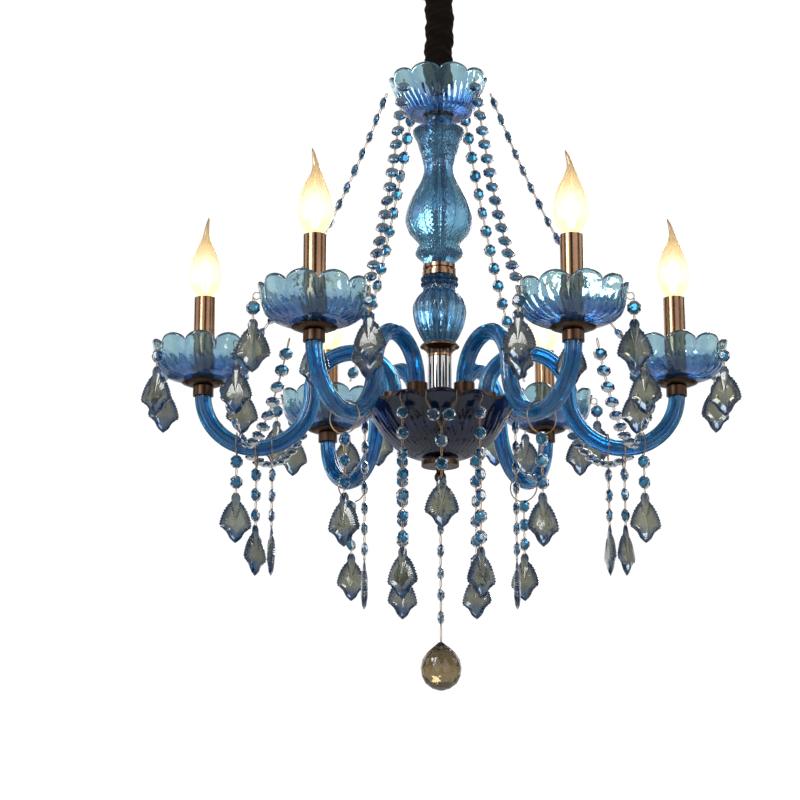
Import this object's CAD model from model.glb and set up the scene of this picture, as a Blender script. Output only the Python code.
import math
import random

import bpy
import numpy as np
from mathutils import Matrix, Vector


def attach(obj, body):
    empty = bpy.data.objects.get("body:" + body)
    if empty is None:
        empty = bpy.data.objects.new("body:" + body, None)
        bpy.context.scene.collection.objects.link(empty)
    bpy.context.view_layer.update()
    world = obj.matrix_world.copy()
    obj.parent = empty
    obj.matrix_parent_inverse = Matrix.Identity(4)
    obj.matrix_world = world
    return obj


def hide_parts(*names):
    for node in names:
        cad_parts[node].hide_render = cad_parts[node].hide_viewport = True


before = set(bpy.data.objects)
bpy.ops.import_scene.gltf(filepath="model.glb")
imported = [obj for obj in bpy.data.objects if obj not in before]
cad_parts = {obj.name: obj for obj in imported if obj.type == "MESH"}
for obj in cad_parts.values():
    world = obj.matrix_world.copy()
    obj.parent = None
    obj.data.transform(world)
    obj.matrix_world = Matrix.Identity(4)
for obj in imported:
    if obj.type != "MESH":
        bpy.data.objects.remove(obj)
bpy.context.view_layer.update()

# Shapes are written in millimetres, with heights counted from the arm plane, as in the design.
# to_frame() turns them into metres in the shared frame, whose origin is the ceiling face.
MM = 0.001
ARM_PLANE = -0.490
ARMS = [60.0 * i for i in range(6)]
SIDE_ARMS = (0, 3)
CUP_RING_R, HUB_RING_R, ARCH_R, U_R = 240.0, 47.0, 41.5, 55.0
ARM_START, ARCH_LEVEL, U_LEVEL, ARM_END = -2.0, 8.0, 5.0, 10.0
U_CENTRE_R, U_BOTTOM, ARM_R = CUP_RING_R - U_R, U_LEVEL - U_R, 8.5
CUP_R, CUP_TOP = 53.5, 58.5
CANDLE_TOP = 107.0
TOP_BOWL_R, TOP_BOWL_RIM = 52.5, 346.0
BOWL_R, BOWL_RIM = 76.5, -7.0
PITCH = 20.8
BEAD_R, LEAF_L = 7.0, 51.0
RING_R, ARM_RING_R = 5.0, 16.0
LAMP = "lamp_body"


# ---------------------------------------- materials

class Nodes:
    """A material's node tree, with short calls for the nodes used here."""

    def __init__(self, name):
        self.material = bpy.data.materials.new(name)
        self.material.use_nodes = True
        self.tree = self.material.node_tree
        self.shader = self.tree.nodes["Principled BSDF"]

    def add(self, kind, **values):
        node = self.tree.nodes.new(kind)
        for key, value in values.items():
            if hasattr(node, key):
                setattr(node, key, value)
            else:
                node.inputs[key].default_value = value
        return node

    def link(self, out, into):
        self.tree.links.new(out, into)

    def set(self, **values):
        for key, value in values.items():
            self.shader.inputs[key.replace("_", " ")].default_value = value

    def noise(self, scale, detail=3.0, distortion=0.0):
        coords = self.add("ShaderNodeTexCoord")
        node = self.add("ShaderNodeTexNoise")
        node.inputs["Scale"].default_value = scale
        node.inputs["Detail"].default_value = detail
        node.inputs["Distortion"].default_value = distortion
        self.link(coords.outputs["Object"], node.inputs["Vector"])
        return node.outputs["Fac"]

    def spread(self, value, low, high):
        node = self.add("ShaderNodeMapRange")
        node.inputs["To Min"].default_value = low
        node.inputs["To Max"].default_value = high
        self.link(value, node.inputs["Value"])
        return node.outputs["Result"]

    def blend(self, factor, a, b):
        """The colour between a and b at factor. Each may be a colour or a socket."""
        node = self.add("ShaderNodeMix", data_type="RGBA")
        self.link(factor, node.inputs[0])
        for socket, value in ((node.inputs[6], a), (node.inputs[7], b)):
            if isinstance(value, tuple):
                socket.default_value = (*value, 1.0)
            else:
                self.link(value, socket)
        return node.outputs[2]

    def bump(self, height, strength, distance):
        node = self.add("ShaderNodeBump")
        node.inputs["Strength"].default_value = strength
        node.inputs["Distance"].default_value = distance
        self.link(height, node.inputs["Height"])
        self.link(node.outputs["Normal"], self.shader.inputs["Normal"])

    def colour(self, value):
        self.link(value, self.shader.inputs["Base Color"])

    def roughness(self, value):
        self.link(value, self.shader.inputs["Roughness"])


def glass(name, pale, deep, through, rough=0.03, ripple=0.25, ripple_scale=90.0):
    """Coloured glass. The mesh's tint, from 0 to 1, goes from the pale colour to the deep one."""
    m = Nodes(name)
    tint = m.add("ShaderNodeAttribute", attribute_name="tint").outputs["Fac"]
    cloud = m.noise(ripple_scale, 2.0, 0.4)
    mixed = m.blend(tint, pale, deep)
    lighter = tuple(min(1.0, c * 1.7) for c in pale)
    mixed = m.blend(m.spread(cloud, -0.25, 0.50), mixed, lighter)
    m.colour(mixed)
    m.roughness(m.spread(m.noise(ripple_scale * 2.5, 2.0), rough * 0.5, rough * 1.8))
    m.bump(cloud, ripple, 0.002)
    m.set(IOR=1.52, Transmission_Weight=through, Specular_IOR_Level=0.6, Coat_Weight=0.3, Coat_Roughness=0.02)
    return m.material


def metal(name, dark, light, rough, streak=300.0, metallic=1.0):
    m = Nodes(name)
    grain = m.noise(streak, 4.0)
    m.colour(m.blend(m.spread(m.noise(40.0, 3.0), 0.0, 1.0), dark, light))
    m.roughness(m.spread(grain, rough * 0.7, rough * 1.4))
    m.bump(grain, 0.06, 0.0005)
    m.set(Metallic=metallic)
    return m.material


def matt(name, dark, light, rough, scale, strength, sheen=0.0):
    m = Nodes(name)
    grain = m.noise(scale, 5.0)
    m.colour(m.blend(grain, dark, light))
    m.roughness(m.spread(grain, rough * 0.85, min(1.0, rough * 1.1)))
    m.bump(grain, strength, 0.0008)
    m.set(Sheen_Weight=sheen, Sheen_Roughness=0.4)
    return m.material


def velvet(name):
    """Black-brown fabric with a fine crossed weave and a little sheen."""
    m = Nodes(name)
    coords = m.add("ShaderNodeTexCoord")
    weave = m.add("ShaderNodeTexWave", wave_type="BANDS", bands_direction="Z")
    weave.inputs["Scale"].default_value = 900.0
    weave.inputs["Distortion"].default_value = 2.0
    m.link(coords.outputs["Object"], weave.inputs["Vector"])
    m.colour(m.blend(m.noise(160.0, 5.0), (0.003, 0.0015, 0.001), (0.014, 0.008, 0.005)))
    m.bump(weave.outputs["Fac"], 0.4, 0.0004)
    m.set(Roughness=0.9, Specular_IOR_Level=0.12, Sheen_Weight=0.02, Sheen_Roughness=0.5)
    return m.material


def lit_glass(name):
    """A lit candle bulb: nearly white low down, amber towards its tip."""
    m = Nodes(name)
    tint = m.add("ShaderNodeAttribute", attribute_name="tint").outputs["Fac"]
    ramp = m.add("ShaderNodeValToRGB")
    stops = [(0.0, (1.0, 0.82, 0.50)), (0.3, (1.0, 0.94, 0.74)),
             (0.62, (0.94, 0.74, 0.42)), (1.0, (0.40, 0.23, 0.12))]
    ramp.color_ramp.elements[0].position = stops[0][0]
    ramp.color_ramp.elements[1].position = stops[-1][0]
    for position, colour in stops[1:-1]:
        ramp.color_ramp.elements.new(position)
    for element, (position, colour) in zip(ramp.color_ramp.elements, stops):
        element.color = (*colour, 1.0)
    m.link(tint, ramp.inputs["Fac"])
    m.colour(ramp.outputs["Color"])
    m.link(ramp.outputs["Color"], m.shader.inputs["Emission Color"])
    m.link(m.spread(tint, 0.54, 0.06), m.shader.inputs["Emission Strength"])
    m.roughness(m.spread(m.noise(120.0), 0.03, 0.08))
    m.set(IOR=1.45, Transmission_Weight=0.55, Coat_Weight=0.5)
    return m.material


def glowing(name, colour, strength):
    m = Nodes(name)
    m.link(m.spread(m.noise(60.0), strength * 0.85, strength * 1.15), m.shader.inputs["Emission Strength"])
    m.shader.inputs["Emission Color"].default_value = (*colour, 1.0)
    m.colour(m.blend(m.noise(90.0), colour, (1.0, 0.95, 0.85)))
    return m.material


CUP_GLASS = glass("cup_glass", (0.29, 0.49, 0.55), (0.004, 0.09, 0.54), 0.88)
BOWL_GLASS = glass("bowl_glass", (0.009, 0.045, 0.17), (0.0006, 0.003, 0.045), 0.84)
COLUMN_GLASS = glass("column_glass", (0.20, 0.50, 0.68), (0.003, 0.05, 0.36), 0.88,
                     ripple=0.6, ripple_scale=130.0)
ARM_GLASS = glass("arm_glass", (0.06, 0.42, 0.78), (0.002, 0.06, 0.38), 0.86, ripple=0.2)
BEAD_GLASS = glass("bead_glass", (0.04, 0.21, 0.33), (0.0015, 0.02, 0.16), 0.76, ripple_scale=160.0)
LEAF_GLASS = glass("leaf_glass", (0.25, 0.255, 0.185), (0.008, 0.07, 0.22), 0.70, ripple_scale=70.0)
BALL_GLASS = glass("ball_glass", (0.24, 0.18, 0.09), (0.006, 0.012, 0.03), 0.76)
LIT_GLASS = lit_glass("lit_glass")
FILAMENT = glowing("filament", (1.0, 0.80, 0.45), 2.5)
COPPER = metal("copper_metal", (0.24, 0.125, 0.07), (0.50, 0.32, 0.20), 0.20)
GOLD_WIRE = metal("gold_wire", (0.36, 0.22, 0.11), (0.66, 0.46, 0.26), 0.3)
CHROME = metal("chrome", (0.50, 0.48, 0.46), (0.78, 0.77, 0.77), 0.07)
DARK_METAL = metal("dark_metal", (0.035, 0.02, 0.012), (0.14, 0.08, 0.05), 0.32)
EDGE_METAL = metal("edge_metal", (0.06, 0.03, 0.015), (0.3, 0.17, 0.08), 0.3)
VELVET = velvet("black_velvet")
CABLE = matt("cable", (0.6, 0.58, 0.52), (0.75, 0.73, 0.68), 0.4, 200.0, 0.1)
PLASTIC = matt("socket_plastic", (0.70, 0.68, 0.62), (0.85, 0.83, 0.78), 0.5, 400.0, 0.1)


# ---------------------------------------- mesh helpers

class Shape:
    """Vertices, faces and a tint per vertex, gathered before a mesh is made."""

    def __init__(self):
        self.verts, self.faces, self.tints = [], [], []

    def add(self, verts, faces, tint=0.0):
        start = len(self.verts)
        self.verts.extend(tuple(v) for v in verts)
        self.faces.extend(tuple(i + start for i in face) for face in faces)
        self.tints.extend(tint if hasattr(tint, "__len__") else [tint] * len(verts))

    def grid(self, rows, around=True, tint=0.0, cap=False):
        """Joins equal rows of points into a surface."""
        n = len(rows[0])
        verts = [p for row in rows for p in row]
        faces = []
        for j in range(len(rows) - 1):
            for i in range(n if around else n - 1):
                k = (i + 1) % n
                faces.append((j * n + i, j * n + k, (j + 1) * n + k, (j + 1) * n + i))
        if cap:
            faces.append(tuple(range(n))[::-1])
            faces.append(tuple((len(rows) - 1) * n + i for i in range(n)))
        self.add(verts, faces, tint)

    def join(self, other, matrix):
        self.add([matrix @ Vector(v) for v in other.verts], other.faces, other.tints)


def to_frame(v):
    return (v[0] * MM, v[1] * MM, v[2] * MM + ARM_PLANE)


def piece(name, shape, material, body, nodes=(), smooth=True):
    """Makes a mesh piece from a shape in millimetres, and puts it on its body."""
    mesh = bpy.data.meshes.new(name)
    mesh.from_pydata([to_frame(v) for v in shape.verts], [], shape.faces)
    tint = mesh.attributes.new("tint", "FLOAT", "POINT")
    tint.data.foreach_set("value", np.array(shape.tints, dtype=np.float32))
    mesh.polygons.foreach_set("use_smooth", [smooth] * len(mesh.polygons))
    mesh.materials.append(material)
    mesh.update()
    obj = bpy.data.objects.new(name, mesh)
    bpy.context.scene.collection.objects.link(obj)
    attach(obj, body)
    if nodes:
        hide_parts(*nodes)
    return obj


def smooth_outline(points, count):
    """A smooth line through outline points, as count (radius, height) pairs."""
    pts = [Vector((r, z, 0)) for r, z in points]
    pts = [pts[0] * 2 - pts[1]] + pts + [pts[-1] * 2 - pts[-2]]
    line = []
    spans = len(points) - 1
    for i in range(count):
        u = i / (count - 1) * spans
        k = min(int(u), spans - 1)
        t = u - k
        a, b, c, d = pts[k:k + 4]
        p = 0.5 * ((2 * b) + (c - a) * t + (2 * a - 5 * b + 4 * c - d) * t * t
                   + (3 * b - a - 3 * c + d) * t ** 3)
        line.append((p.x, p.y))
    return line


def turned(outline, segments, shape_radius=None, tint=None):
    """Rows of a turned form. shape_radius(r, z, angle, t) may return a new radius and height."""
    rows, tints = [], []
    for j, (r, z) in enumerate(outline):
        t = j / (len(outline) - 1)
        row = []
        for i in range(segments):
            a = 2 * math.pi * i / segments
            rr, zz = shape_radius(r, z, a, t) if shape_radius else (r, z)
            row.append((rr * math.cos(a), rr * math.sin(a), zz))
            tints.append(tint(rr, zz, a, t) if tint else 0.0)
        rows.append(row)
    return rows, tints


def polar(r, azimuth, z):
    a = math.radians(azimuth)
    return Vector((r * math.cos(a), r * math.sin(a), z))


def tube(path, radius, sides=8, closed=False):
    """A wire along a list of points."""
    shape = Shape()
    n = len(path)
    rows = []
    side = None
    for i, p in enumerate(path):
        ahead = path[(i + 1) % n] if closed or i < n - 1 else path[i]
        behind = path[i - 1] if closed or i > 0 else path[i]
        along = (ahead - behind).normalized()
        if side is None:
            side = along.orthogonal().normalized()
        side = (side - along * side.dot(along)).normalized()
        up = along.cross(side)
        angles = [2 * math.pi * k / sides for k in range(sides)]
        rows.append([p + (side * math.cos(a) + up * math.sin(a)) * radius for a in angles])
    if closed:
        rows.append(rows[0])
    shape.grid(rows, cap=not closed)
    return shape


def hoop(centre, radius, wire, normal, steps=40):
    """A ring of twisted-looking wire, facing along normal."""
    normal = normal.normalized()
    a = normal.orthogonal().normalized()
    b = normal.cross(a)
    path = []
    for i in range(steps):
        t = 2 * math.pi * i / steps
        path.append(centre + (a * math.cos(t) + b * math.sin(t)) * radius)
    return tube(path, wire, 6, closed=True)


def clamp(v, low=0.0, high=1.0):
    return max(low, min(high, v))


# ---------------------------------------- beads, leaves and strands

def faceted_bead():
    """A flat octagonal stone with star facets and a table on each face."""
    shape = Shape()
    rings = [(3.3, 3.4, 0.0, 0.15), (5.4, 2.3, 22.5, 0.35), (BEAD_R, 0.5, 0.0, 0.85)]
    for side in (1, -1):
        verts, tints = [], []
        for r, y, turn, tint in rings:
            for k in range(8):
                a = math.radians(22.5 + turn + 45 * k)
                verts.append((r * math.cos(a), side * y, r * math.sin(a)))
                tints.append(tint)
        faces = [tuple(range(8))]
        for ring in range(2):
            for k in range(8):
                a, b = ring * 8 + k, ring * 8 + (k + 1) % 8
                c, d = (ring + 1) * 8 + k, (ring + 1) * 8 + (k + 1) % 8
                if ring == 0:
                    faces += [(a, c, b), (b, c, d)]
                else:
                    faces += [(a, d, b), (a, c, d)]
        faces = faces if side < 0 else [f[::-1] for f in faces]
        shape.add(verts, faces, tints)
    for k in range(8):
        a, b = 16 + k, 16 + (k + 1) % 8
        shape.faces.append((a, b, b + 24, a + 24))
    return shape


LEAF_WIDTHS = [(0.0, 2.4), (0.05, 4.2), (0.10, 5.0), (0.16, 4.2), (0.24, 8.0), (0.36, 12.0), (0.50, 15.0),
               (0.62, 16.6), (0.68, 16.4), (0.73, 13.4), (0.78, 9.8), (0.84, 7.8),
               (0.90, 6.4), (0.95, 3.8), (1.0, 0.3)]


def leaf_outline():
    xs, ws = zip(*LEAF_WIDTHS)
    right = []
    for i in range(37):
        s = i / 36
        width = float(np.interp(s, xs, ws))
        if 0.2 < s < 0.74:
            width += 0.75 * (1 if i % 2 else -0.6)
        right.append((width, -s * LEAF_L))
    return right + [(-x, z) for x, z in reversed(right)]


def faceted_leaf():
    """A flat leaf pendant: serrated edge, cut bevel, and a raised table with a ridge."""
    outline = leaf_outline()
    n = len(outline)
    centre = (0.0, -30.0)
    shape = Shape()
    levels = [(1.0, 0.35, 1.0), (0.80, 2.3, 0.55), (0.52, 3.3, 0.08)]
    for side in (1, -1):
        verts, tints = [], []
        for scale, y, tint in levels:
            for x, z in outline:
                pinch = 0.6 if z > -9 else 1.0
                verts.append((centre[0] + (x - centre[0]) * scale, side * y * pinch,
                              centre[1] + (z - centre[1]) * scale))
                tints.append(tint if z > -42 else min(1.0, tint + 0.35))
        verts.append((0, side * 3.6, centre[1]))
        tints.append(0.0)
        faces = []
        for ring in range(2):
            for k in range(n):
                a, b = ring * n + k, ring * n + (k + 1) % n
                faces.append((a, a + n, b + n, b))
        faces += [(2 * n + k, 3 * n, 2 * n + (k + 1) % n) for k in range(n)]
        faces = faces if side < 0 else [f[::-1] for f in faces]
        shape.add(verts, faces, tints)
    top = 3 * n + 1
    for k in range(n):
        j = (k + 1) % n
        shape.faces.append((k, j, j + top, k + top))
    return shape


BEAD, LEAF = faceted_bead(), faceted_leaf()
rng = random.Random(7)


class Strand:
    """Stones and wire of one group of strands, kept as two shapes."""

    def __init__(self):
        self.stones, self.leaves, self.wire = Shape(), Shape(), Shape()

    def bead(self, centre, along, side):
        normal = side.cross(along).normalized()
        side = along.cross(normal).normalized()
        turn = Matrix((side, normal, along)).transposed().to_4x4()
        turn = turn @ Matrix.Rotation(rng.uniform(-0.22, 0.22), 4, "Z")
        stone = Shape()
        shift = rng.uniform(-0.25, 0.35)
        stone.add(BEAD.verts, BEAD.faces, [clamp(t + shift) for t in BEAD.tints])
        self.stones.join(stone, Matrix.Translation(centre) @ turn)

    def link(self, a, b):
        """A wire loop between two stones: a long oval with a twist at its middle."""
        run = b - a
        if run.length < 1.0:
            return
        along = run.normalized()
        across = along.orthogonal().normalized()
        path = []
        for i in range(18):
            t = 2 * math.pi * i / 18
            path.append((a + b) * 0.5 + along * (math.cos(t) * run.length * 0.5)
                        + across * (math.sin(t) * 1.1))
        self.wire.join(tube(path, 0.42, 5, closed=True), Matrix.Identity(4))

    def leaf(self, top, turn):
        matrix = Matrix.Translation(top) @ Matrix.Rotation(math.radians(turn + rng.uniform(-4, 4)), 4, "Z")
        stone = Shape()
        shift = rng.uniform(-0.10, 0.20)
        stone.add(LEAF.verts, LEAF.faces, [clamp(t + shift) for t in LEAF.tints])
        self.leaves.join(stone, matrix)

    def drop(self, spot, z_top, beads, leaf_top, turn):
        """Beads straight below a spot, with a leaf under them when leaf_top is a height."""
        side = Vector((math.cos(math.radians(turn)), math.sin(math.radians(turn)), 0))
        down = Vector((0, 0, 1))
        knots = [z_top] + [z for z in beads]
        for z in beads:
            self.bead(Vector((spot.x, spot.y, z)), down, side)
        for a, b in zip(knots, knots[1:]):
            start = a if a == z_top else a - BEAD_R + 1.2
            self.link(Vector((spot.x, spot.y, start)), Vector((spot.x, spot.y, b + BEAD_R - 1.2)))
        if leaf_top is not None:
            last = beads[-1] - BEAD_R + 1.2 if beads else z_top
            self.link(Vector((spot.x, spot.y, last)), Vector((spot.x, spot.y, leaf_top - 3.0)))
            self.leaf(Vector((spot.x, spot.y, leaf_top)), turn)

    def hung(self, a, b, sag, end_gap=11.0):
        """Beads at an even pitch along a hanging line."""
        spots = [a + (b - a) * t - Vector((0, 0, 4 * sag * t * (1 - t))) for t in np.linspace(0, 1, 201)]
        lengths = [0.0]
        for p, q in zip(spots, spots[1:]):
            lengths.append(lengths[-1] + (q - p).length)
        count = int(round((lengths[-1] - 2 * end_gap) / PITCH)) + 1
        centres = []
        flat = Vector((-(b - a).y, (b - a).x, 0)).normalized()
        for s in np.linspace(end_gap, lengths[-1] - end_gap, count):
            k = min(int(np.searchsorted(lengths, s)), 200)
            centres.append(spots[k])
            along = (spots[k] - spots[k - 1]).normalized()
            self.bead(spots[k], along, flat)
        knots = [a] + centres + [b]
        for i, (p, q) in enumerate(zip(knots, knots[1:])):
            run = (q - p).normalized()
            start = p if i == 0 else p + run * (BEAD_R - 1.2)
            end = q if i == len(knots) - 2 else q - run * (BEAD_R - 1.2)
            self.link(start, end)

    def make(self, name, body, nodes):
        """The strand's pieces: stones, leaves and wire."""
        nodes = list(nodes)
        if self.stones.verts:
            piece(name + "_beads", self.stones, BEAD_GLASS, body, nodes, smooth=False)
        if self.leaves.verts:
            piece(name + "_leaves", self.leaves, LEAF_GLASS, body, nodes, smooth=False)
        piece(name + "_wire", self.wire, GOLD_WIRE, body, nodes)


# ---------------------------------------- glass of the cups, bowls and column

def lobe(angle, count):
    """1 at the middle of a petal and 0 in the notch between two."""
    return abs(math.cos(count * angle / 2)) ** 0.55


def petal_bowl(outer, inner, count, lobe_h, bulge, flutes, cut_top):
    """A scalloped glass bowl: plain round petals above, deep cut flutes below cut_top."""
    shape = Shape()
    low, high = outer[0][1], outer[-1][1]

    def outside(r, z, a, t):
        petal = clamp((z - (high - 3.2 * lobe_h)) / (3.2 * lobe_h)) ** 1.5
        notch = 1 - lobe(a, count)
        cut = clamp((cut_top - z) / (cut_top - low) * 3.0) * clamp(t * 6)
        r = r - bulge * notch * petal - 0.9 * cut * abs(math.sin(flutes * a / 2 + z * 0.10))
        return r, z - lobe_h * notch * petal

    def inside(r, z, a, t):
        petal = clamp((z - (high - 3.2 * lobe_h)) / (3.2 * lobe_h)) ** 1.5
        notch = 1 - lobe(a, count)
        return r - bulge * notch * petal, z - lobe_h * notch * petal

    def tint(r, z, a, t):
        edge = 0.35 * (1 - lobe(a, count)) * clamp(t * 2 - 1)
        streak = 0.55 + 0.45 * abs(math.sin(flutes * a / 2 + z * 0.10))
        return clamp((cut_top + 1 - z) / 16.0) * 0.9 * streak + edge

    segments = count * 20
    out_rows, out_tints = turned(smooth_outline(outer, 26), segments, outside, tint)
    in_rows, in_tints = turned(smooth_outline(inner, 20), segments, inside, tint)
    lip = []
    for p, q in zip(out_rows[-1], in_rows[-1]):
        mid = (Vector(p) + Vector(q)) * 0.5
        lip.append((mid.x, mid.y, mid.z + 0.9))
    rows = out_rows + [lip] + in_rows[::-1]
    lip_tint = [0.55] * segments
    in_tints = [x for j in reversed(range(len(in_rows))) for x in in_tints[j * segments:(j + 1) * segments]]
    shape.grid(rows + [rows[0]], tint=out_tints + lip_tint + in_tints + out_tints[:segments])
    return shape


CUP_OUTER = [(5, 19.6), (19, 20.2), (34, 23.0), (44.5, 29), (49, 37), (51, 47), (CUP_R, CUP_TOP)]
CUP_INNER = [(5, 22.4), (19, 23.0), (32, 26.0), (41.5, 31), (46, 38.5), (48, 47), (CUP_R - 2.6, CUP_TOP)]
TOP_OUTER = [(6, 306.2), (31, 306.4), (37, 313), (42, 320), (46.5, 330), (TOP_BOWL_R, TOP_BOWL_RIM)]
TOP_INNER = [(6, 309), (27, 309.4), (33, 315), (38, 322), (43.5, 331), (TOP_BOWL_R - 2.6, TOP_BOWL_RIM)]
BOWL_OUTER = [(6, -62), (26, -60), (45, -50), (59, -36), (68, -21), (BOWL_R, BOWL_RIM)]
BOWL_INNER = [(6, -58), (25, -56), (42.5, -47), (55.5, -34), (64.5, -20), (BOWL_R - 3, BOWL_RIM)]


def at(shape, azimuth, r, turn=0.0):
    """A copy of a shape built on the origin, moved to a cup's place."""
    moved = Shape()
    spot = polar(r, azimuth, 0)
    moved.join(shape, Matrix.Translation(spot) @ Matrix.Rotation(math.radians(azimuth + turn), 4, "Z"))
    moved.tints = list(shape.tints)
    return moved


def arm_path():
    """Centre line of an arm along +X."""
    path = [Vector((HUB_RING_R, 0, z)) for z in np.linspace(ARM_START, ARCH_LEVEL, 4)[:-1]]
    for a in np.linspace(math.pi, 0, 34):
        path.append(Vector((HUB_RING_R + ARCH_R + ARCH_R * math.cos(a), 0,
                            ARCH_LEVEL + ARCH_R * math.sin(a))))
    for a in np.linspace(math.pi, 2 * math.pi, 44):
        path.append(Vector((U_CENTRE_R + U_R * math.cos(a), 0, U_LEVEL + U_R * math.sin(a))))
    path.append(Vector((CUP_RING_R, 0, ARM_END)))
    return path


def ribbed_arm():
    """A glass tube with rounded ribs along it, and a plain bore for the wires."""
    shape = Shape()
    path = arm_path()
    sides, ribs = 64, 8
    outer, inner, tints = [], [], []
    for i, p in enumerate(path):
        along = (path[min(i + 1, len(path) - 1)] - path[max(i - 1, 0)]).normalized()
        side = Vector((0, 1, 0))
        up = along.cross(side)
        ring_out, ring_in = [], []
        for k in range(sides):
            a = 2 * math.pi * k / sides
            r = ARM_R - 1.1 + 1.1 * abs(math.cos(ribs * a / 2))
            spoke = side * math.cos(a) + up * math.sin(a)
            ring_out.append(p + spoke * r)
            ring_in.append(p + spoke * (ARM_R * 0.58))
            tints.append(clamp(0.15 + 0.75 * (1 - abs(math.cos(ribs * a / 2)))))
        outer.append(ring_out)
        inner.append(ring_in)
    rows = outer + inner[::-1]
    shape.grid(rows + [rows[0]], tint=tints + [0.2] * (len(inner) * sides) + tints[:sides])
    return shape


BALUSTER = [(15.5, 142), (18, 147), (24.5, 154), (23.5, 159), (21, 165), (25, 171), (31, 178), (34, 186),
            (35, 194), (32, 206), (26.5, 219), (19.5, 232), (15.6, 246), (17.5, 259),
            (20.8, 270), (23, 278), (27.2, 286.5),
            (25.5, 290), (16, 293.5), (14.5, 303)]
LOWER = [(15.2, 57.3), (16.5, 61), (20, 67), (24.5, 77), (27, 88),
         (27.6, 97), (25.5, 104), (21, 110), (17.5, 114), (17, 119)]


def bored(rows, tints, bore):
    """Closes turned rows into a solid of glass with a straight bore."""
    shape = Shape()
    n = len(rows[0])
    ends = []
    for row in (rows[-1], rows[0]):
        ends.append([(bore * math.cos(2 * math.pi * i / n), bore * math.sin(2 * math.pi * i / n), row[i][2])
                     for i in range(n)])
    shape.grid(rows + ends + [rows[0]], tint=tints + [0.3] * (2 * n) + tints[:n])
    return shape


def upper_baluster():
    panels, segments = 12, 312

    def cut(r, z, a, t):
        u = a * panels / (2 * math.pi)
        inside = u - math.floor(u)
        body = clamp((z - 146) / 5) * clamp((290 - z) / 5)
        groove = math.exp(-(min(inside, 1 - inside) / 0.07) ** 2)
        r -= 1.1 * groove * body
        if int(math.floor(u)) % 2 == 0 or z < 186 or z > 262:
            step = 4.6
            x = a * 26.0
            facet = abs(math.sin(math.pi * (x + z) / step)) + abs(math.sin(math.pi * (x - z) / step))
            r -= 0.75 * (1 - facet * 0.5) * body
        return r, z

    def tint(r, z, a, t):
        u = a * panels / (2 * math.pi)
        plain = int(math.floor(u)) % 2 == 1 and 186 < z < 262
        shade = (0.62 if plain else 0.30) + 0.5 * clamp((z - 283) / 5) + 0.5 * clamp((156 - z) / 6)
        return clamp(shade - 0.2 * clamp((200 - z) / 30))

    rows, tints = turned(smooth_outline(BALUSTER, 190), segments, cut, tint)
    return bored(rows, tints, 5.6)


def lower_baluster():
    ribs = 18

    def cut(r, z, a, t):
        return r - 1.7 * (1 - abs(math.cos(ribs * a / 2)) ** 0.7) * clamp(t * 8) * clamp((1 - t) * 7), z

    def tint(r, z, a, t):
        return clamp(0.15 + 0.75 * (1 - abs(math.cos(ribs * a / 2))) + 0.35 * clamp((z - 100) / 12))

    rows, tints = turned(smooth_outline(LOWER, 60), ribs * 12, cut, tint)
    return bored(rows, tints, 5.6)


def beaded_collar(z):
    """A glass ring set round with small faceted beads."""
    shape = Shape()
    rows, tints = turned([(15.5, z), (16.5, z + 0.8), (16.5, z + 4.2), (15.5, z + 5)], 60, None,
                         lambda *x: 0.8)
    shape.join(bored(rows, tints, 5.6), Matrix.Identity(4))
    shape.tints = [0.8] * len(shape.verts)
    for k in range(26):
        nub = Shape()
        nub_rows, nub_tints = turned([(0.05, -2.4), (1.7, -1.5), (2.15, 0), (1.7, 1.5), (0.05, 2.4)], 6, None,
                                     lambda *x: 0.35)
        nub.grid(nub_rows, tint=nub_tints, cap=True)
        spot = polar(17.2, 360 / 26 * k, z + 2.5)
        shape.join(nub, Matrix.Translation(spot))
        shape.tints[-len(nub.verts):] = [0.2 + 0.5 * (k % 2)] * len(nub.verts)
    return shape


def rim_line(outer, count, lobe_h, bulge, lift):
    """The thin dark metal line that follows a bowl's scalloped edge."""
    r, z = outer[-1]
    path = []
    for i in range(count * 16):
        a = 2 * math.pi * i / (count * 16)
        notch = 1 - lobe(a, count)
        reach = r - 1.2 - bulge * notch
        path.append(Vector((reach * math.cos(a), reach * math.sin(a), z + lift - lobe_h * notch)))
    return tube(path, 0.8, 6, closed=True)


def fluted_saucer():
    shape = Shape()

    def flute(r, z, a, t):
        return r - 0.9 * t * abs(math.sin(12 * a)), z

    outline = [(4.5, 14.1), (8, 14.0), (15, 14.8), (22.0, 17.4), (21.8, 18.0), (14, 16.2), (4.5, 15.6)]
    rows, tints = turned(outline, 192, flute)
    shape.grid(rows + [rows[0]], tint=tints + tints[:192])
    return shape


def flame_bulb(lean, azimuth):
    """The bulb's envelope: a candle flame with a bent tip."""
    shape = Shape()
    line = smooth_outline([(6.6, 0), (8.5, 3), (13.5, 10), (16.8, 19), (17.3, 27), (15.6, 37), (11.8, 48),
                           (7.2, 58), (4.0, 66),
                           (2.6, 74), (1.6, 81), (0.3, 86)], 56)
    rows, tints = [], []
    for r, z in line:
        t = z / 86.0
        bend = lean * clamp((t - 0.6) / 0.4) ** 1.6
        sway = 0.35 * lean * math.sin(clamp((t - 0.6) / 0.4) * math.pi)
        shift = polar(bend - sway, azimuth, 0)
        rows.append([shift + Vector((r * math.cos(a), r * math.sin(a), CANDLE_TOP + z))
                     for a in np.linspace(0, 2 * math.pi, 40, endpoint=False)])
        tints += [t] * 40
    shape.grid(rows, tint=tints, cap=True)
    return shape


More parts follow.
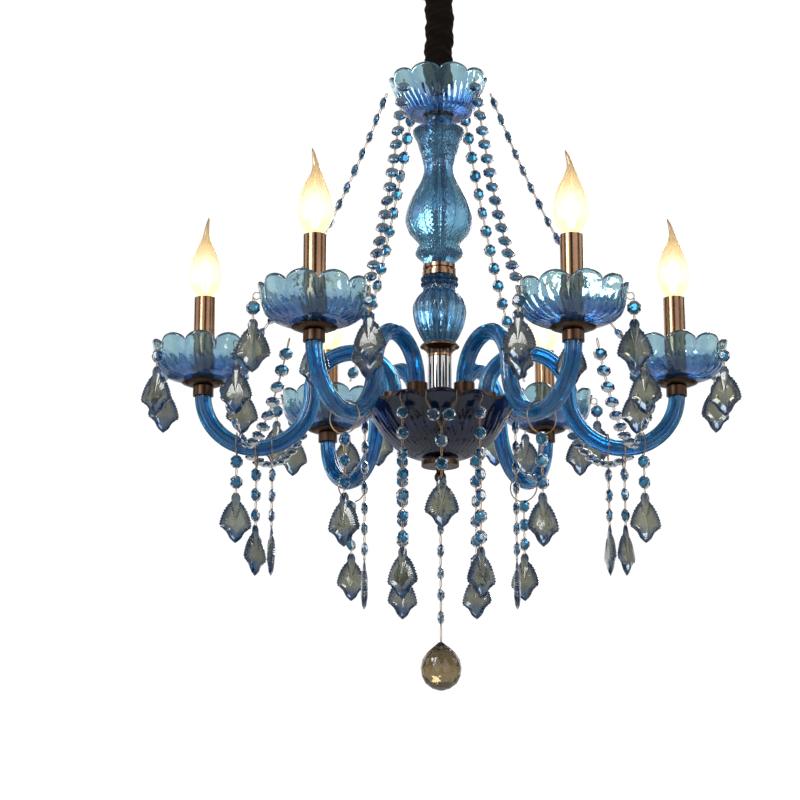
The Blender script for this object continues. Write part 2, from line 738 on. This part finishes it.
def filament():
    shape = Shape()
    for k in range(6):
        a = 60 * k
        path = [polar(1.6, a, CANDLE_TOP + 8), polar(3.4, a + 15, CANDLE_TOP + 18),
                polar(3.6, a + 30, CANDLE_TOP + 28),
                polar(1.2, a + 45, CANDLE_TOP + 38)]
        shape.join(tube(path, 0.55, 6), Matrix.Identity(4))
    return shape


def make_glass():
    top = petal_bowl(TOP_OUTER, TOP_INNER, 10, 6.0, 3.4, 40, 330.0)
    piece("top_bowl_glass", top, CUP_GLASS, LAMP, ["top_bowl"])
    bowl = petal_bowl(BOWL_OUTER, BOWL_INNER, 12, 7.0, 2.0, 48, -14.0)
    piece("bottom_bowl_glass", bowl, BOWL_GLASS, LAMP, ["bottom_bowl"])
    piece("bottom_bowl_edge", rim_line(BOWL_OUTER, 12, 7.0, 2.0, 1.2), EDGE_METAL,
          LAMP, ["bottom_bowl"])
    piece("upper_baluster_glass", upper_baluster(), COLUMN_GLASS, LAMP, ["upper_baluster"])
    piece("lower_baluster_glass", lower_baluster(), COLUMN_GLASS, LAMP, ["lower_baluster"])
    collars = Shape()
    for z in (119.4, 124.8):
        collar = beaded_collar(z)
        collars.add(collar.verts, collar.faces, collar.tints)
    piece("beaded_collars_glass", collars, COLUMN_GLASS, LAMP, ["beaded_collars"],
          smooth=False)
    cup = petal_bowl(CUP_OUTER, CUP_INNER, 10, 8.0, 4.2, 30, 42.0)
    arm, saucer = ribbed_arm(), fluted_saucer()
    saucers = Shape()
    for i, azimuth in enumerate(ARMS):
        tail = "_" + str(i + 1)
        piece("cup_glass" + tail, at(cup, azimuth, CUP_RING_R, 18), CUP_GLASS, LAMP,
              ["cup" + tail])
        piece("arm_glass" + tail, at(arm, azimuth, 0), ARM_GLASS, LAMP, ["arm" + tail])
        saucers.join(at(saucer, azimuth, CUP_RING_R), Matrix.Identity(4))
        lean = 5.5 if i % 2 else -4.5
        bulb = at(flame_bulb(lean, 40.0 * i), azimuth, CUP_RING_R)
        piece("bulb_flame" + tail, bulb, LIT_GLASS, "bulb_body" + tail, ["bulb" + tail])
        piece("filament" + tail, at(filament(), azimuth, CUP_RING_R), FILAMENT,
              "bulb_body" + tail)
    piece("fluted_saucers", saucers, DARK_METAL, LAMP, ["cup_saucers"])


# ---------------------------------------- strands, in the places that the design gives them

CUP_DROP_AZIMUTHS = {0: (-40, 40, -130, 130), 3: (140, 220, 50, 310), 4: (180, 92, 30, -25),
                     5: (0, 88, 150, 205), 1: (-10, 45, 110, 190), 2: (190, 135, 70, -10)}


def upper_route(arm):
    azimuth = ARMS[arm]
    start_azimuth = azimuth
    end = polar(CUP_RING_R - CUP_R + 3.0, azimuth, CUP_TOP + 3.0)
    if arm in (4, 5):
        side = -1 if arm == 4 else 1
        start_azimuth = 270 + side * 42
        centre = polar(CUP_RING_R, azimuth, 0)
        end = Vector((centre.x - side * (CUP_R - 3), centre.y, CUP_TOP + 3.0))
    return polar(TOP_BOWL_R + 1.5, start_azimuth, TOP_BOWL_RIM - 15), end


def make_lamp_strands():
    upper, low, cups = Strand(), Strand(), Strand()
    for arm in range(6):
        start, end = upper_route(arm)
        upper.hung(start, end, 26.0)
        centre = polar(CUP_RING_R, ARMS[arm], 0)
        for azimuth in CUP_DROP_AZIMUTHS[arm]:
            spot = centre + polar(CUP_R + 3.5, azimuth, 0)
            ring_at = centre + polar(CUP_R + 0.5, azimuth, CUP_TOP - 10.5)
            cups.wire.join(hoop(ring_at, 3.4, 0.45, polar(1, azimuth + 90, 0), 20), Matrix.Identity(4))
            turn = 28 * math.sin(math.radians(3 * azimuth))
            cups.drop(spot, CUP_TOP - 12.5, [CUP_TOP - 22], CUP_TOP - 33, turn)
    for side in (1, -1):
        for other, y in ((5 if side > 0 else 4, -1), (1 if side > 0 else 2, 1)):
            centre = polar(CUP_RING_R, ARMS[other], 0)
            start = Vector((centre.x + side * 24, centre.y - y * 24, 14.0))
            end = Vector((side * (U_CENTRE_R + 11), y * (ARM_R + 1.5), U_BOTTOM))
            low.hung(start, end, 26.0, 17.0)
        low.hung(Vector((side * 221, -17.5, 12)), Vector((side * 193, -17.5, U_BOTTOM - 2)), 5.0, 9.0)
    upper.make("upper_strand", LAMP, ["upper_strands"])
    low.make("swag", LAMP, ["swags"])
    cups.make("cup_drop", LAMP, ["cup_drops"])


def make_arm_drop(arm):
    strand = Strand()
    azimuth = ARMS[arm]
    along = polar(1, azimuth, 0)
    centre = polar(U_CENTRE_R, azimuth, U_BOTTOM + ARM_R + 1.1 - ARM_RING_R)
    strand.wire.join(hoop(centre, ARM_RING_R, 0.7, along, 56), Matrix.Identity(4))
    low = centre.z - ARM_RING_R
    face = azimuth + (52 if arm in SIDE_ARMS else 90)
    strand.drop(centre, low, [U_BOTTOM - 27.5, U_BOTTOM - 48, U_BOTTOM - 69], U_BOTTOM - 79, face)
    if arm in SIDE_ARMS:
        for offset, beads, leaf_top, turn in ((20, [-64, -85], -96, 20), (-16, [-78, -99, -119], -129, 100)):
            tube_z = U_LEVEL - math.sqrt(U_R * U_R - offset * offset)
            spot = polar(U_CENTRE_R + offset, azimuth, tube_z)
            strand.wire.join(hoop(spot, 12.0, 0.6, along, 40), Matrix.Identity(4))
            strand.drop(spot, tube_z - 12.0, beads, leaf_top, turn + azimuth)
    strand.make("arm_strand_%d" % (arm + 1), "arm_drop_body_%d" % (arm + 1), ["arm_drop_%d" % (arm + 1)])


def make_bowl_drop(arm):
    strand = Strand()
    azimuth = ARMS[arm]
    centre = polar(BOWL_R - 0.5, azimuth, BOWL_RIM - 6.5)
    strand.wire.join(hoop(centre, RING_R, 0.5, polar(1, azimuth + 90, 0), 28), Matrix.Identity(4))
    low = centre.z - RING_R
    beads = [low - 10 - PITCH * i for i in range(7)]
    strand.drop(centre, low, beads, beads[-1] - 9.5, azimuth + 90)
    strand.make("bowl_strand_%d" % (arm + 1), "bowl_drop_body_%d" % (arm + 1), ["bowl_drop_%d" % (arm + 1)])


def make_front_drop():
    strand = Strand()
    y = -BOWL_R + 2.0
    meet = Vector((0, y, -47.0))
    for side in (-1, 1):
        top = Vector((side * 15.0, y, BOWL_RIM - 6.5))
        low = top - Vector((0, 0, RING_R))
        strand.wire.join(hoop(top, RING_R, 0.5, Vector((1, 0, 0)), 28), Matrix.Identity(4))
        middle, run = (low + meet) * 0.5, (meet - low).normalized()
        strand.bead(middle, -run, Vector((1, 0, 0)))
        strand.link(low, middle - run * 5.8)
        strand.link(middle + run * 5.8, meet)
    strand.drop(Vector((0, y, 0)), -46.5, [-59, -82], -95, 0)
    strand.make("front_strand", "front_drop_body", ["front_drop"])


def faceted_ball():
    """A cut ball with a point at the top, and staggered triangular facets."""
    shape = Shape()
    outline = [(2.2, -246.5), (8.5, -251.5), (14.5, -257), (18.8, -264), (20.4, -272), (19.4, -280),
               (15.5, -287), (9, -292), (2.2, -294)]
    n = 16
    verts, tints = [], []
    for j, (r, z) in enumerate(outline):
        for k in range(n):
            a = 2 * math.pi * (k + 0.5 * (j % 2)) / n
            verts.append((r * math.cos(a), r * math.sin(a), z))
            tints.append(clamp((z + 262) / 12.0))
    faces = []
    for j in range(len(outline) - 1):
        for k in range(n):
            a, b = j * n + k, j * n + (k + 1) % n
            c, d = a + n, b + n
            faces += [(a, c, b), (b, c, d)] if j % 2 == 0 else [(a, c, d), (a, d, b)]
    faces.append(tuple(range(n)))
    faces.append(tuple((len(outline) - 1) * n + k for k in range(n))[::-1])
    shape.add(verts, faces, tints)
    return shape


def make_ball_drop():
    strand = Strand()
    top = -93.5 - (4.0 + 4.0 - 0.9 - 0.6 - 0.3)
    strand.wire.join(hoop(Vector((0, 0, top)), 4.0, 0.6, Vector((1, 0, 0)), 24), Matrix.Identity(4))
    strand.drop(Vector((0, 0, 0)), top - 4.0, [-132, -155, -177, -199, -222], None, 90)
    strand.link(Vector((0, 0, -227.8)), Vector((0, 0, -247.5)))
    strand.make("ball_strand", "ball_drop_body", ["ball_drop"])
    piece("faceted_ball", faceted_ball(), BALL_GLASS, "ball_drop_body", ["ball_drop"],
          smooth=False)


# ---------------------------------------- sleeve over the chain

SLEEVE_LOW, SLEEVE_TOP, SLEEVE_R = 338.0, 442.0, 14.7


def make_sleeve():
    """A gathered fabric tube: soft ripples round it, pushed down the chain."""
    shape = Shape()
    rows = []
    for z in np.linspace(SLEEVE_LOW, SLEEVE_TOP, 160):
        row = []
        for k in range(120):
            a = 2 * math.pi * k / 120
            fold = math.sin(2 * math.pi * z / 23 + 1.9 * math.sin(a + 0.021 * z))
            fine = math.sin(2 * math.pi * z / 9.0 + 2.6 * math.sin(2 * a - 0.03 * z))
            r = SLEEVE_R + 0.8 * fold + 0.35 * fine
            row.append((r * math.cos(a) + 1.2 * math.sin(0.05 * z), r * math.sin(a), z))
        rows.append(row)
    shape.grid(rows)
    obj = piece("fabric_sleeve", shape, VELVET, "chain_body", ["chain_sleeve"])
    return obj


# ---------------------------------------- metal and other pieces carried over from the design

def paint_kept_nodes():
    finish = {
        DARK_METAL: ["arm_ferrules", "ceiling_bracket", "ceiling_hook", "chain", "top_loop", "arm_hub",
                     "finial", "bowl_spacer"],
        CHROME: ["ceiling_canopy", "canopy_nuts", "column_tube", "centre_rod"],
        COPPER: ["candle_tubes", "lower_collar", "spacer_rings"],
        CABLE: ["power_lead", "arm_wires"],
        PLASTIC: ["lamp_sockets"],
    }
    for material, names in finish.items():
        for name in names:
            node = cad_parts[name]
            node.data.materials.clear()
            node.data.materials.append(material)


# ---------------------------------------- camera, light and floor

CAMERA_X, DISTANCE, CAMERA_DROP = -0.0405, 2.33, 14.0
CARD_WIDTH, CARD_LOW, CARD_HIGH = 0.50, -1.5, 0.6
CARD_DISTANCE = 1.25
CARD_AZIMUTHS = (25, 155, 210, 270, 330)


def make_camera():
    camera = bpy.data.cameras.new("camera")
    camera.lens = 103.5
    camera.sensor_width = 36.0
    obj = bpy.data.objects.new("camera", camera)
    bpy.context.scene.collection.objects.link(obj)
    drop = math.radians(CAMERA_DROP)
    obj.location = (CAMERA_X, -DISTANCE * math.cos(drop), ARM_PLANE - DISTANCE * math.sin(drop))
    obj.rotation_euler = (math.radians(90 + CAMERA_DROP), 0, 0)
    bpy.context.scene.camera = obj


def soft_light(name, place, target, size, power, colour=(1, 1, 1)):
    lamp = bpy.data.lights.new(name, "AREA")
    lamp.shape, lamp.size, lamp.energy, lamp.color = "SQUARE", size, power, colour
    obj = bpy.data.objects.new(name, lamp)
    obj.location = place
    obj.rotation_euler = (Vector(target) - Vector(place)).to_track_quat("-Z", "Y").to_euler()
    bpy.context.scene.collection.objects.link(obj)


def make_dark_cards():
    """Tall dark cards round the lamp, seen only in the glass and the metal."""
    paint = matt("card_paint", (0.010, 0.010, 0.011), (0.016, 0.016, 0.018), 0.9, 5.0, 0.02)
    for azimuth in CARD_AZIMUTHS:
        middle, across = polar(CARD_DISTANCE, azimuth, 0), polar(CARD_WIDTH / 2, azimuth + 90, 0)
        corners = [middle - across, middle + across]
        verts = [(p.x, p.y, CARD_LOW) for p in corners] + [(p.x, p.y, CARD_HIGH) for p in corners[::-1]]
        mesh = bpy.data.meshes.new("card")
        mesh.from_pydata(verts, [], [(0, 1, 2, 3)])
        mesh.materials.append(paint)
        obj = bpy.data.objects.new("card_%d" % azimuth, mesh)
        obj.visible_camera = False
        obj.visible_shadow = False
        bpy.context.scene.collection.objects.link(obj)


def make_studio():
    scene = bpy.context.scene
    scene.view_settings.view_transform = "Standard"
    world = bpy.data.worlds.new("studio")
    scene.world = world
    world.use_nodes = True
    nodes, links = world.node_tree.nodes, world.node_tree.links
    coords = nodes.new("ShaderNodeTexCoord")
    split = nodes.new("ShaderNodeSeparateXYZ")
    ramp = nodes.new("ShaderNodeValToRGB")
    height = nodes.new("ShaderNodeMapRange")
    height.inputs["From Min"].default_value = -1.0
    links.new(coords.outputs["Generated"], split.inputs["Vector"])
    links.new(split.outputs["Z"], height.inputs["Value"])
    links.new(height.outputs["Result"], ramp.inputs["Fac"])
    links.new(ramp.outputs["Color"], nodes["Background"].inputs["Color"])
    stops = [(0.0, 0.15), (0.47, 0.4), (0.51, 1.0), (0.74, 1.0), (0.80, 0.22), (1.0, 0.14)]
    ramp.color_ramp.elements[0].position = stops[0][0]
    ramp.color_ramp.elements[1].position = stops[-1][0]
    for position, grey in stops[1:-1]:
        ramp.color_ramp.elements.new(position)
    for element, (position, grey) in zip(ramp.color_ramp.elements, stops):
        element.color = (grey, grey, grey, 1.0)
    nodes["Background"].inputs["Strength"].default_value = 1.05

    floor = Shape()
    size, level = 6000.0, -1150.0
    floor.grid([[(-size, -size, level), (size, -size, level)],
                [(-size, size, level), (size, size, level)]], around=False)
    mesh = bpy.data.meshes.new("floor")
    mesh.from_pydata([to_frame(v) for v in floor.verts], [], floor.faces)
    obj = bpy.data.objects.new("floor", mesh)
    scene.collection.objects.link(obj)
    obj.data.materials.append(matt("floor_paint", (0.80, 0.80, 0.79), (0.84, 0.84, 0.83), 0.8, 3.0, 0.02))

    make_dark_cards()
    soft_light("key", (-1.6, -1.8, 0.5), (0, 0, -0.4), 0.8, 20)
    soft_light("fill", (1.9, -1.5, -0.3), (0, 0, -0.4), 0.6, 9)
    soft_light("back", (0.6, 2.0, 0.6), (0, 0, -0.4), 0.8, 14)


def main():
    make_camera()
    make_studio()
    make_sleeve()
    paint_kept_nodes()
    make_glass()
    make_lamp_strands()
    for arm in range(6):
        make_arm_drop(arm)
        make_bowl_drop(arm)
    make_front_drop()
    make_ball_drop()


main()
